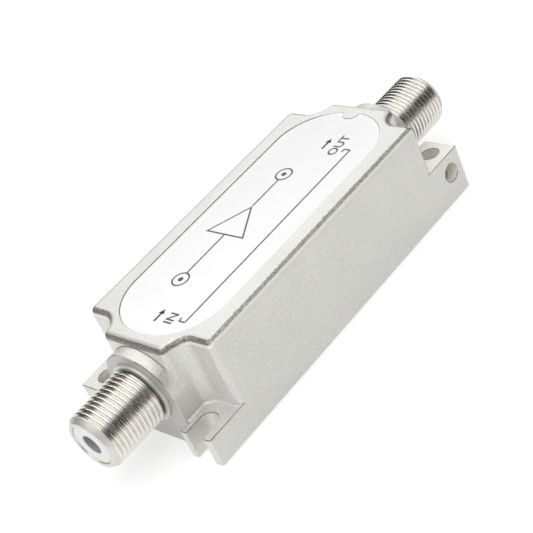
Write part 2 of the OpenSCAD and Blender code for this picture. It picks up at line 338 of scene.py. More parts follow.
@dataclass(frozen=True)
class BlastedCasting(Finish):
    """Die-cast zinc, blasted and plated: a fine grain, with painted shade in a band along the rounded edge
    of the roof and painted light in a matt strip below it.
    """

    coarse: float = 6.0
    fine: float = 0.24
    relief: float = 0.048
    uneven: tuple[float, float] = (-0.04, 0.04)
    swell: float = 0.02
    speck: float = 0.22
    speck_least: float = 0.42
    # Colour of the painted shade: a dark speckled band along the rounded roof edge
    worn: Colour = (0.155, 0.148, 0.133)
    side_band: tuple[float, float] = (16.37, 16.778)
    end_band: tuple[float, float] = (15.80, 16.62)
    fade: tuple[float, float] = (0.17, 0.025)
    ends: tuple[float, float] = (24.0, 26.0)
    ragged: float = 0.022
    ragged_size: float = 0.32
    # Painted light: a pale, less metallic strip below the band that lifts the shade of the lower rounding
    painted_light: Colour = (0.97, 0.965, 0.93)
    painted_light_from: tuple[float, float] = (15.6, 15.9)
    painted_light_metal: float = 0.05

    def mix(self, sheet: Sheet) -> bpy.types.Material:
        """Grain in tone, gloss and relief, a speckled band of painted shade and a strip of painted light.

        Args:
            sheet: Empty node tree.

        Returns:
            The material.
        """
        fine = sheet.noise(self.fine, detail=3)
        wave = sheet.noise(self.coarse)
        tone = sheet.blend(sheet.spread(fine, 0, 1, middle=0.22), self.deep, self.tone)
        speck = sheet.spread(sheet.noise(self.speck, detail=3), self.speck_least, 1, middle=0.17)
        dark, painted_light = self.zones(sheet)
        # Painted shade: the dark band, broken up by speckles
        worn = sheet.calc("MULTIPLY", dark, speck)
        soft = sheet.bump(wave, self.swell, strength=0.5)
        return sheet.done(
            Base_Color=sheet.blend(worn, sheet.blend(painted_light, tone, self.painted_light), self.worn),
            Roughness=self.gloss(sheet, wave),
            Metallic=sheet.calc("MULTIPLY_ADD", painted_light, self.painted_light_metal - self.metal, self.metal),
            Normal=sheet.bump(fine, self.relief, strength=0.7, under=soft),
        )

    def zones(self, sheet: Sheet) -> tuple[bpy.types.NodeSocket, bpy.types.NodeSocket]:
        """Zones of the rounded roof edge: a band of painted shade, lower at the ends, and a matt strip of
        painted light below it.

        Args:
            sheet: Node tree of the finish.

        Returns:
            Value outputs of the band and of the strip, 1 inside and 0 outside.
        """
        where = sheet.add("ShaderNodeSeparateXYZ", {0: sheet.place()}).outputs
        along = sheet.calc("ABSOLUTE", where["X"])
        stray = sheet.spread(sheet.noise(self.ragged_size), -self.ragged * MM, self.ragged * MM)
        up = sheet.calc("ADD", where["Z"], stray)
        limits = zip(self.side_band, self.end_band)
        low, top = (sheet.ramp(along, *self.ends, side * MM, end * MM) for side, end in limits)
        rise = sheet.ramp(sheet.calc("SUBTRACT", up, low), 0, self.fade[0])
        fall = sheet.ramp(sheet.calc("SUBTRACT", top, up), 0, self.fade[1])
        dark = sheet.calc("MULTIPLY", rise, fall)
        below = sheet.calc("SUBTRACT", 1.0, rise)
        strip = sheet.calc("MULTIPLY", sheet.ramp(up, *self.painted_light_from), below)
        return dark, sheet.calc("MULTIPLY", strip, sheet.ramp(along, *self.ends, 1, 0))


@dataclass(frozen=True)
class TurnedNickel(Finish):
    """Bright nickel on a turned barrel: fine rings around the X axis and small stains."""

    coarse: float = 1.5
    fine: float = 0.05
    relief: float = 0.001
    uneven: tuple[float, float] = (-0.04, 0.06)
    stretch: tuple[float, float, float] = (1, 0.02, 0.02)

    def mix(self, sheet: Sheet) -> bpy.types.Material:
        """Rings in relief and gloss.

        Args:
            sheet: Empty node tree.

        Returns:
            The material.
        """
        rings = sheet.noise(self.fine, scale=self.stretch)
        stain = sheet.noise(self.coarse, detail=4)
        return sheet.done(
            Base_Color=sheet.blend(sheet.spread(stain, 0, 1), self.deep, self.tone),
            Roughness=self.gloss(sheet, stain),
            Metallic=self.metal,
            Normal=sheet.bump(rings, self.relief, strength=0.3),
        )


@dataclass(frozen=True)
class RolledPlate(Finish):
    """Tin-plated steel sheet: long rolling streaks and a faint crystal bloom."""

    coarse: float = 4.0
    fine: float = 0.15
    relief: float = 0.003
    uneven: tuple[float, float] = (-0.06, 0.06)
    stretch: tuple[float, float, float] = (0.02, 1, 1)

    def mix(self, sheet: Sheet) -> bpy.types.Material:
        """Streaks along X and bloom.

        Args:
            sheet: Empty node tree.

        Returns:
            The material.
        """
        streak = sheet.noise(self.fine, detail=3, scale=self.stretch)
        inputs = {"Vector": sheet.place(), "Scale": 1 / (self.coarse * MM)}
        cells = sheet.add("ShaderNodeTexVoronoi", inputs)
        bloom = sheet.add("ShaderNodeSeparateColor", {"Color": cells.outputs["Color"]}).outputs[0]
        return sheet.done(
            Base_Color=sheet.blend(bloom, self.deep, self.tone),
            Roughness=self.gloss(sheet, streak),
            Metallic=self.metal,
            Normal=sheet.bump(streak, self.relief, strength=0.5),
        )


@dataclass(frozen=True)
class Laminate(Finish):
    """Circuit board: solder mask over copper lanes that show as a faint relief."""

    coarse: float = 5.0
    fine: float = 0.3
    relief: float = 0.03
    disorder: float = 0.6
    lane_edge: tuple[float, float] = (0.05, 0.07)

    def mix(self, sheet: Sheet) -> bpy.types.Material:
        """Lanes in tone and relief.

        Args:
            sheet: Empty node tree.

        Returns:
            The material.
        """
        scale = 1 / (self.coarse * MM)
        inputs = {"Vector": sheet.place(), "Scale": scale, "Randomness": self.disorder}
        lanes = sheet.add("ShaderNodeTexVoronoi", inputs, distance="CHEBYCHEV", feature="DISTANCE_TO_EDGE")
        start, stop = self.lane_edge
        limits = {0: lanes.outputs["Distance"], 1: start, 2: stop}
        track = sheet.add("ShaderNodeMapRange", limits).outputs[0]
        weave = sheet.noise(self.fine, detail=1)
        return sheet.done(
            Base_Color=sheet.blend(track, self.deep, self.tone),
            Roughness=self.gloss(sheet, weave),
            Normal=sheet.bump(track, self.relief, strength=0.6),
        )


@dataclass(frozen=True)
class PrintedFilm(Finish):
    """Label film or ink with a fine matt tooth."""

    coarse: float = 5.0
    fine: float = 0.08
    relief: float = 0.003

    def mix(self, sheet: Sheet) -> bpy.types.Material:
        """Tooth in relief and a hardly visible cloud in tone.

        Args:
            sheet: Empty node tree.

        Returns:
            The material.
        """
        tooth = sheet.noise(self.fine)
        cloud = sheet.noise(self.coarse)
        return sheet.done(
            Base_Color=sheet.blend(sheet.spread(cloud, 0, 1), self.deep, self.tone),
            Roughness=self.gloss(sheet, tooth),
            Normal=sheet.bump(tooth, self.relief, strength=0.3),
        )


CAST_ZINC = BlastedCasting(
    "cast_zinc", "cast_housing", (0.87, 0.865, 0.826), (0.66, 0.655, 0.624), 0.45, 0.6)
BRIGHT_NICKEL = TurnedNickel("bright_nickel", "nickel", (0.84, 0.82, 0.765), (0.76, 0.74, 0.685), 0.26, 1.0)
SATIN_NICKEL = TurnedNickel("satin_nickel", "nickel", (0.80, 0.79, 0.755), (0.74, 0.73, 0.695), 0.48, 0.75)
# Painted shade: a dark nickel for the deep part of the neck, where shade falls
SHADED_NICKEL = TurnedNickel("nickel_painted_shade", "nickel", (0.36, 0.35, 0.32), (0.28, 0.27, 0.25), 0.4, 0.8)
# Painted shade: a dark finish for the upward rims and the boss crease, where edges would be shaded
PAINTED_EDGE_SHADE = Finish("painted_edge_shade", "cast_housing", (0.30, 0.295, 0.27), (0.21, 0.206, 0.19), 0.6, 0.5)
# Turned boss face, darker than the casting: partly its own finish, partly painted shade
FACED_ZINC_SHADED = TurnedNickel("faced_zinc_painted_shade", "cast_housing", (0.64, 0.635, 0.605), (0.57, 0.565, 0.54), 0.5, 0.7)
# Screw hole walls, pale and warm: partly their own finish, partly painted light that lifts the shade inside
# them
BORED_ZINC_LIGHTENED = Finish("bored_zinc_painted_light", "cast_housing", (0.88, 0.86, 0.78), (0.80, 0.78, 0.71), 0.6, 0.1)
TIN_PLATE = RolledPlate("tin_plate", "tinned_plate", (0.80, 0.80, 0.79), (0.72, 0.72, 0.71), 0.3, 1.0)
WHITE_FILM = PrintedFilm("white_film", "label_film", (0.95, 0.95, 0.95), (0.935, 0.935, 0.935), 0.65)
GREY_INK = PrintedFilm("grey_ink", "label_film", (0.09, 0.09, 0.09), (0.07, 0.07, 0.07), 0.5)
# Painted shade: grey for the walls and floor of the pin hole, in place of the shade of its depth
HOLE_SHADE_GREY = Finish("hole_painted_shade", "white_plastic", (0.40, 0.40, 0.40), (0.36, 0.36, 0.36), 0.6)
WHITE_PLASTIC = Finish("white_plastic", "white_plastic", (0.94, 0.94, 0.925), (0.91, 0.91, 0.895), 0.38)
NATURAL_PLASTIC = Finish("natural_plastic", "natural_plastic", (0.82, 0.80, 0.74), (0.76, 0.74, 0.68), 0.45)
CONTACT_METAL = Finish("contact_metal", "contact_brass", (0.80, 0.66, 0.36), (0.72, 0.58, 0.30), 0.25, 1.0)
GREEN_BOARD = Laminate("green_board", "board_laminate", (0.03, 0.22, 0.10), (0.08, 0.34, 0.15), 0.35)
BLACK_MOULD = Finish("black_mould", "black_moulding", (0.03, 0.03, 0.032), (0.02, 0.02, 0.022), 0.5)
CHIP_CERAMIC = Finish("chip_ceramic", "chip_ceramic", (0.46, 0.33, 0.20), (0.40, 0.28, 0.17), 0.45)
CHOKE_FERRITE = Finish("choke_ferrite", "choke_ferrite", (0.11, 0.11, 0.12), (0.08, 0.08, 0.09), 0.6)
TANTALUM = Finish("tantalum", "tantalum_case", (0.80, 0.42, 0.06), (0.72, 0.36, 0.05), 0.4)
SOLDER = Finish("solder", "solder", (0.70, 0.70, 0.72), (0.60, 0.60, 0.63), 0.28, 1.0)

DRESSED_NODES: dict[Finish, tuple[str, ...]] = {
    NATURAL_PLASTIC: ("input_rear_insulator", "output_rear_insulator"),
    CONTACT_METAL: ("input_center_contact", "output_center_contact"),
    GREEN_BOARD: ("circuit_board",),
    BLACK_MOULD: ("first_stage_transistor", "second_stage_transistor", "voltage_regulator",
                  "protection_diode", "chip_resistors"),
    CHIP_CERAMIC: ("input_coupling_capacitor", "interstage_coupling_capacitor",
                   "output_coupling_capacitor", "bypass_capacitors"),
    CHOKE_FERRITE: ("input_bias_choke", "output_bias_choke", "supply_choke"),
    TANTALUM: ("supply_capacitor",),
    SOLDER: ("contact_solder_joints", "ground_solder_joints"),
}


# Workpieces


class Workpiece:
    """A bmesh in millimetres that becomes one finished piece."""

    def __init__(self) -> None:
        """Starts with an empty bmesh."""
        self.bm = bmesh.new()

    def copy_node(self, node: str, least_edge: float = 0.001, flat_angle: float = 0.5) -> None:
        """Takes a copy of a CAD node, with its loose triangles joined to flat faces.

        Args:
            node: Name of the node.
            least_edge: Edges shorter than this are closed to points.
            flat_angle: Faces that differ by fewer degrees than this become one.
        """
        bm = self.bm
        bm.from_mesh(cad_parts[node].data)
        bm.transform(Matrix.Scale(1 / MM, 4))
        self.merge(HAIR)
        bmesh.ops.collapse(bm, edges=[e for e in bm.edges if e.calc_length() < least_edge])
        bmesh.ops.dissolve_limit(bm, angle_limit=math.radians(flat_angle), verts=bm.verts, edges=bm.edges)
        bm.normal_update()

    def merge(self, within: float = 0.001) -> None:
        """Merges doubled vertices."""
        bmesh.ops.remove_doubles(self.bm, verts=self.bm.verts, dist=within)

    def outline(self, points: Profile, closed: bool) -> list:
        """Draws a profile of (x, r) in the XY plane.

        Args:
            points: Distance along X and radius of each corner.
            closed: Whether the last corner joins the first.

        Returns:
            The new vertices and edges.
        """
        verts = [self.bm.verts.new((x, r, 0)) for x, r in points]
        pairs = list(zip(verts, verts[1:]))
        if closed:
            pairs.append((verts[-1], verts[0]))
        return verts + [self.bm.edges.new(pair) for pair in pairs]

    def turn(self, points: Profile, steps: int = 96) -> None:
        """Turns a closed profile around the X axis.

        Args:
            points: Distance along X and radius of each corner.
            steps: Steps of the full turn.
        """
        bmesh.ops.spin(self.bm, geom=self.outline(points, True), cent=(0, 0, 0), axis=(1, 0, 0),
                       angle=math.tau, steps=steps, use_merge=True)
        self.merge()
        bmesh.ops.recalc_face_normals(self.bm, faces=self.bm.faces)

    def edges(self, wanted: Callable[[bmesh.types.BMEdge], bool]) -> list:
        """Edges that meet a test."""
        return [edge for edge in self.bm.edges if edge.is_manifold and wanted(edge)]

    def soften(self, edges: Iterable[bmesh.types.BMEdge], width: float, segments: int = 2) -> list:
        """Rounds edges.

        Args:
            edges: Edges to round.
            width: Width of the rounding on each side.
            segments: Steps of the rounding.

        Returns:
            The faces of the rounding.
        """
        rounding = bmesh.ops.bevel(
            self.bm, geom=list(edges), offset=width, offset_type="OFFSET", affect="EDGES",
            segments=segments, profile=0.5, material=-1, clamp_overlap=False)
        return rounding["faces"]

    def finish(self, name: str, finish: Finish, place: Matrix = Matrix(),
               crisp: float = 35.0) -> bpy.types.Object:
        """Makes the bmesh an object of the scene that rides with the housing.

        Args:
            name: Name of the piece.
            finish: Its finish.
            place: Place of the piece, in millimetres.
            crisp: Edges sharper than this many degrees stay crisp.

        Returns:
            The piece.
        """
        self.bm.transform(Matrix.Scale(MM, 4) @ place)
        mesh = bpy.data.meshes.new(name)
        self.bm.to_mesh(mesh)
        self.bm.free()
        mesh.shade_smooth()
        mesh.set_sharp_from_angle(angle=math.radians(crisp))
        piece = bpy.data.objects.new(name, mesh)
        bpy.context.scene.collection.objects.link(piece)
        mesh.materials.append(finish.material())
        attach(piece, BODY)
        LOG.info("%s: %d faces", name, len(mesh.polygons))
        return piece


# Pieces


@dataclass
class Casting:
    """Die-cast housing, with the small roundings that casting and blasting leave."""

    node: str = "housing"
    edge_break: float = 0.1
    floor_fillet: float = 0.5
    least_edge: float = 0.05
    low_ear: float = 5.0
    fillet_reach: float = 12.6
    corner: tuple[float, float] = (23.8, 11.9)
    corner_r: float = 1.1
    run_out: float = 33.8
    pinch: float = 0.02
    crisp_angle: float = 50.0
    cavity: tuple[float, float, float] = (23.3, 11.4, 14.9)
    bore_r: float = 4.8
    hole: tuple[float, float, float] = (28.9, 9.875, 4.7)
    hole_r: float = 1.6
    boss_x: float = 30.2
    boss_r: float = 6.75
    wall_x: float = 28.3
    crease: float = 0.1
    crease_z: float = 11.5
    shoulder_z: float = 15.5
    shaded_tilt: tuple[float, float] = (0.3, 0.95)

    def shows(self, edge: bmesh.types.BMEdge) -> bool:
        """Whether an edge is on the outside of the housing."""
        middle = (edge.verts[0].co + edge.verts[1].co) / 2
        inside = all(abs(place) < limit for place, limit in zip(middle, self.cavity))
        return not inside and off_axis(middle, AXIS_Z) > self.bore_r

    def is_bored(self, face: bmesh.types.BMFace) -> bool:
        """Whether a face is the wall of a screw hole, upright or from the side."""
        x, y, z = self.hole
        spots = [v.co for v in face.verts]
        upright = all(math.hypot(abs(p.x) - x, abs(p.y) - y) < self.hole_r for p in spots)
        outside = all(abs(p.y) > y - self.hole_r for p in spots)
        across = outside and all(math.hypot(abs(p.x) - x, p.z - z) < self.hole_r for p in spots)
        return abs(face.normal.z) < STRAIGHT and upright or abs(face.normal.y) < STRAIGHT and across

    def is_faced(self, face: bmesh.types.BMFace) -> bool:
        """Whether a face is the turned front of a boss."""
        return abs(face.normal.x) > STRAIGHT and is_near(abs(face.calc_center_median().x), self.boss_x)

    def skin(self, face: bmesh.types.BMFace) -> Skin:
        """Finish of a face of the copied solid."""
        if self.is_bored(face):
            return Skin.BORED_LIGHTENED
        return Skin.FACED_SHADED if self.is_faced(face) else Skin.CAST

    def is_shaded_edge(self, face: bmesh.types.BMFace) -> bool:
        """Whether a face of the edge rounding looks up, below the roof; such faces take painted shade, a
        dark line along the edge.
        """
        low, high = self.shaded_tilt
        return low < face.normal.z < high and face.calc_center_median().z < self.shoulder_z

    def on_ear_top(self, edge: bmesh.types.BMEdge) -> bool:
        """Whether an edge lies where a wall stands on the top of a low ear."""
        spots = [v.co for v in edge.verts]
        return all(is_near(p.z, self.low_ear) and abs(p.y) < self.fillet_reach for p in spots)

    def taper(self, work: Workpiece, faces: list) -> None:
        """Lets the fillet of a low ear run out round the corner between notch and side.

        Args:
            work: The workpiece.
            faces: Faces of the fillets.
        """
        verts = once(v for face in faces for v in face.verts if abs(v.co.y) > self.corner[1])
        for vert in verts:
            arm = Vector((abs(vert.co.x) - self.corner[0], abs(vert.co.y) - self.corner[1]))
            share = max(0.0, 1 - math.degrees(math.atan2(arm.y, arm.x)) / self.run_out)
            reach = (self.corner_r + (arm.length - self.corner_r) * share) / arm.length
            vert.co.x = math.copysign(self.corner[0] + arm.x * reach, vert.co.x)
            vert.co.y = math.copysign(self.corner[1] + arm.y * reach, vert.co.y)
            vert.co.z = self.low_ear + (vert.co.z - self.low_ear) * share
        bmesh.ops.remove_doubles(work.bm, verts=verts, dist=self.pinch)
        foot = self.low_ear + self.floor_fillet + self.edge_break
        around = once(f for v in verts if v.is_valid for f in v.link_faces)
        walls = [f for f in around if max(v.co.z for v in f.verts) > foot]
        cut = once(part for f in walls for part in (f, *f.edges, *f.verts))
        bmesh.ops.bisect_plane(work.bm, geom=cut, dist=HAIR, plane_co=(0, 0, foot), plane_no=(0, 0, 1))
        work.bm.normal_update()

    def on_crease(self, edge: bmesh.types.BMEdge) -> bool:
        """Whether an edge lies where the upper half of a boss meets its end wall."""
        return all(
            is_near(abs(v.co.x), self.wall_x) and v.co.z > self.crease_z
            and is_near(off_axis(v.co, AXIS_Z), self.boss_r, FACET) for v in edge.verts
        )

    def build(self) -> bpy.types.Object:
        """Rounds a copy of the CAD solid.

        Returns:
            The piece.
        """
        work = Workpiece()
        work.copy_node(self.node, self.least_edge)
        sharp = math.radians(self.crisp_angle)
        bends = work.edges(lambda e: e.calc_face_angle() > sharp)
        floors = [e for e in bends if not e.is_convex and self.on_ear_top(e)]
        self.taper(work, work.soften(floors, self.floor_fillet, segments=4))
        rims = work.edges(lambda e: e.is_convex and e.calc_face_angle() > sharp and self.shows(e))
        for face in work.bm.faces:
            face.material_index = self.skin(face)
        # The crease and the upward-looking rim faces take painted shade, dark lines where they would be
        # shaded
        for face in work.soften(work.edges(self.on_crease), self.crease, segments=1):
            face.material_index = Skin.WORN
        for face in work.soften(rims, self.edge_break, segments=1):
            face.normal_update()
            face.material_index = Skin.WORN if self.is_shaded_edge(face) else Skin.CAST
        piece = work.finish("cast_housing", CAST_ZINC)
        for finish in (PAINTED_EDGE_SHADE, BORED_ZINC_LIGHTENED, FACED_ZINC_SHADED):
            piece.data.materials.append(finish.material())
        flat = piece.modifiers.new("flat_faces", "WEIGHTED_NORMAL")
        flat.keep_sharp = True
        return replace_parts(piece, self.node)


@dataclass
class ThreadedBarrel:
    """Nickel-plated barrel of a socket, with a helical thread."""

    pitch: float = 25.4 / 32
    crest_r: float = 4.7625
    root_r: float = 4.42
    groove: float = 0.2
    neck_r: float = 4.05
    shade_r: float = 4.35
    thread_x: float = 31.1
    thread_end: float = 40.4
    tip_x: float = 41.3
    shoulder_r: float = 4.62
    tip_r: float = 4.1
    flange_r: float = 5.2
    flange_x: tuple[float, float] = (30.2, 30.7)
    spigot_r: float = 4.6
    bore_r: float = 3.5
    rear_x: float = 23.1
    steps: int = 96
    wave_points: int = 10
    spare_turns: int = 2
    edge_break: float = 0.07
    seam: float = 0.002
    run_out: float = 0.02
    gap: float = 0.01

    def thread(self, work: Workpiece) -> None:
        """Winds the thread, longer than needed.

        Args:
            work: Empty workpiece.
        """
        p = self.pitch
        start = self.thread_x - self.spare_turns * p
        shares = [i / self.wave_points for i in range(self.wave_points + 1)]
        wave = [(start + share * p, self.crest_r - self.depth(share)) for share in shares]
        bmesh.ops.spin(work.bm, geom=work.outline(wave, False), cent=(0, 0, 0), axis=(1, 0, 0),
                       dvec=(p / self.steps, 0, 0), angle=math.tau, steps=self.steps, use_merge=False)
        first = [*work.bm.verts, *work.bm.edges, *work.bm.faces]
        turns = math.ceil((self.thread_end - self.thread_x) / p) + 2 * self.spare_turns
        for turn in range(1, turns):
            copy = bmesh.ops.duplicate(work.bm, geom=first)["geom"]
            verts = [v for v in copy if isinstance(v, bmesh.types.BMVert)]
            bmesh.ops.translate(work.bm, vec=(turn * p, 0, 0), verts=verts)
        work.merge(self.seam)

    def depth(self, share: float) -> float:
        """Depth below the crest at a share of one pitch, with a rounded groove at 0 and at 1."""
        return (self.crest_r - self.root_r) * math.exp(-(min(share, 1 - share) / self.groove) ** 2)

    def trim(self, work: Workpiece, x: float, outward: float) -> list:
        """Cuts the thread off square.

        Args:
            work: The workpiece.
            x: Place of the cut.
            outward: Side that is cut away, -1 or 1.

        Returns:
            Edges of the new rim.
        """
        bm = work.bm
        bmesh.ops.bisect_plane(bm, geom=[*bm.verts, *bm.edges, *bm.faces], dist=HAIR,
                               plane_co=(x, 0, 0), plane_no=(outward, 0, 0), clear_outer=True)
        ends = [e for e in bm.edges if e.is_boundary]
        return [e for e in ends if all(is_near(v.co.x, x, self.seam) for v in e.verts)]

    def draw_out(self, work: Workpiece, rim: list, x: float, r: float) -> list:
        """Extrudes a rim to a circle around the axis.

        Args:
            work: The workpiece.
            rim: Edges of the rim.
            x: Place of the circle.
            r: Radius of the circle.

        Returns:
            Edges of the new rim.
        """
        grown = bmesh.ops.extrude_edge_only(work.bm, edges=rim)["geom"]
        fresh = {v for v in grown if isinstance(v, bmesh.types.BMVert)}
        for vert in fresh:
            angle = math.atan2(vert.co.z, vert.co.y)
            vert.co = (x, r * math.cos(angle), r * math.sin(angle))
        return [e for e in grown if isinstance(e, bmesh.types.BMEdge) and set(e.verts) <= fresh]

    def build(self, end: End) -> bpy.types.Object:
        """Makes the barrel of one end.

        Args:
            end: The end.

        Returns:
            The piece.
        """
        work = Workpiece()
        self.thread(work)
        rear = self.trim(work, self.thread_x, -1)
        front = self.trim(work, self.thread_end, 1)
        back, face = self.flange_x
        outside = [(self.thread_x, self.neck_r), (face, self.neck_r), (face, self.shade_r),
                   (face, self.flange_r), (back, self.flange_r), (back, self.spigot_r),
                   (self.rear_x, self.spigot_r), (self.rear_x, self.bore_r)]
        for x, r in outside:
            rear = self.draw_out(work, rear, x, r)
        mouth = [(self.thread_end + self.run_out, self.shoulder_r), (self.tip_x, self.tip_r),
                 (self.tip_x, self.bore_r), (self.rear_x + self.gap, self.bore_r)]
        for x, r in mouth:
            front = self.draw_out(work, front, x, r)
        bmesh.ops.bridge_loops(work.bm, edges=rear + front)
        bmesh.ops.dissolve_degenerate(work.bm, dist=HAIR, edges=work.bm.edges)
        bmesh.ops.recalc_face_normals(work.bm, faces=work.bm.faces)
        work.soften(work.edges(self.is_rim), self.edge_break)
        for face in work.bm.faces:
            face.material_index = self.plating(face)
        piece = work.finish(f"{end.label}_threaded_barrel", BRIGHT_NICKEL, end.place)
        for finish in (SATIN_NICKEL, SHADED_NICKEL):
            piece.data.materials.append(finish.material())
        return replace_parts(piece, f"{end.label}_connector_shell")

    def plating(self, face: bmesh.types.BMFace) -> Plating:
        """Finish of a face; the deep part of the neck takes painted shade."""
        middle = face.calc_center_median()
        in_neck = self.flange_x[1] - NEAR < middle.x < self.thread_x + NEAR
        if in_neck and off_axis(middle) < self.shade_r:
            return Plating.SHADED_NECK
        return Plating.THREAD if self.thread_x < middle.x < self.thread_end else Plating.TURNED

    def is_rim(self, edge: bmesh.types.BMEdge) -> bool:
        """Whether an edge runs around the flange or the tip."""
        places = [(x, self.flange_r) for x in self.flange_x]
        places += [(self.tip_x, r) for r in (self.tip_r, self.bore_r)]
        return any(
            all(is_near(v.co.x, x) and is_near(off_axis(v.co), r, FACET) for v in edge.verts)
            for x, r in places
        )


@dataclass
class FrontInsulator:
    """White disc in the mouth of a socket, with the hole for the cable's pin."""

    rear_x: float = 32.15
    face_x: float = 41.15
    step_x: float = 38.15
    outer_r: float = 3.45
    hole_r: float = 1.65
    sleeve_r: float = 1.05
    rim: float = 0.15

    def is_rim(self, edge: bmesh.types.BMEdge) -> bool:
        """Whether an edge is a corner of the front face."""
        in_front = all(is_near(v.co.x, self.face_x) for v in edge.verts)
        return in_front and edge.calc_face_angle() > math.radians(SQUARE)

    def build(self, end: End) -> bpy.types.Object:
        """Makes the disc of one end.

        Args:
            end: The end.

        Returns:
            The piece.
        """
        work = Workpiece()
        work.turn([(self.rear_x, self.sleeve_r), (self.rear_x, self.outer_r), (self.face_x, self.outer_r),
                   (self.face_x, self.hole_r), (self.step_x, self.hole_r), (self.step_x, self.sleeve_r)])
        work.soften(work.edges(self.is_rim), self.rim, segments=3)
        for face in work.bm.faces:
            # Faces inside the pin hole take the painted shade
            face.material_index = int(all(off_axis(v.co) < self.hole_r + NEAR for v in face.verts))
        piece = work.finish(f"{end.label}_insulator_disc", WHITE_PLASTIC, end.place)
        piece.data.materials.append(HOLE_SHADE_GREY.material())
        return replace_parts(piece, f"{end.label}_front_insulator")


@dataclass
class BasePlate:
    """Stamped plate under the housing, with a pressed panel."""

    size: tuple[float, float] = (47.8, 24.0)
    corner: float = 2.8
    low: float = 0.2
    thick: float = 0.8
    border: float = 3.0
    press: float = 0.3
    slope: float = 0.4
    panel_corner: float = 1.6
    edge_break: float = 0.08
    rim_angle: float = 23.0

    def rises(self, edge: bmesh.types.BMEdge, height: float) -> bool:
        """Whether an edge rises by a height."""
        first, second = edge.verts
        return is_near(abs(first.co.z - second.co.z), height)

    def is_rim(self, edge: bmesh.types.BMEdge) -> bool:
        """Whether an edge is an outer corner of the sheet."""
        return edge.is_convex and edge.calc_face_angle() > math.radians(self.rim_angle)

    def build(self) -> bpy.types.Object:
        """Makes the plate.

        Returns:
            The piece.
        """
        work = Workpiece()
        bm = work.bm
        bmesh.ops.create_cube(bm, size=1)
        bmesh.ops.scale(bm, vec=(*self.size, self.thick), verts=bm.verts)
        bmesh.ops.translate(bm, vec=(0, 0, self.low + self.thick / 2), verts=bm.verts)
        panel = [f for f in bm.faces if f.normal.z < -STRAIGHT]
        for step in (self.border, self.slope):
            bmesh.ops.inset_region(bm, faces=panel, thickness=step, use_even_offset=True)
        bmesh.ops.translate(bm, vec=(0, 0, self.press), verts=once(v for f in panel for v in f.verts))
        work.soften(work.edges(lambda e: self.rises(e, self.press)), self.panel_corner, segments=8)
        work.soften(work.edges(lambda e: self.rises(e, self.thick)), self.corner, segments=10)
        work.soften(work.edges(self.is_rim), self.edge_break)
        piece = work.finish("base_plate", TIN_PLATE)
        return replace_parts(piece, "bottom_cover")


@dataclass
class LabelFilm:
    """White film in the recess of the roof, spread toward the wall of the recess."""

    node: str = "top_label"
    reach: float = 0.08
    rim: float = 0.03

    def build(self) -> bpy.types.Object:
        """Spreads a copy of the CAD solid.

        Returns:
            The piece.
        """
        work = Workpiece()
        work.copy_node(self.node)
        top = max(v.co.z for v in work.bm.verts)
        for vert in work.bm.verts:
            vert.co += Vector((vert.normal.x, vert.normal.y, 0)).normalized() * self.reach
        corners = work.edges(lambda e: e.calc_face_angle() > math.radians(SQUARE))
        work.soften([e for e in corners if all(is_near(v.co.z, top) for v in e.verts)], self.rim)
        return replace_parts(work.finish("label_film", WHITE_FILM), self.node)


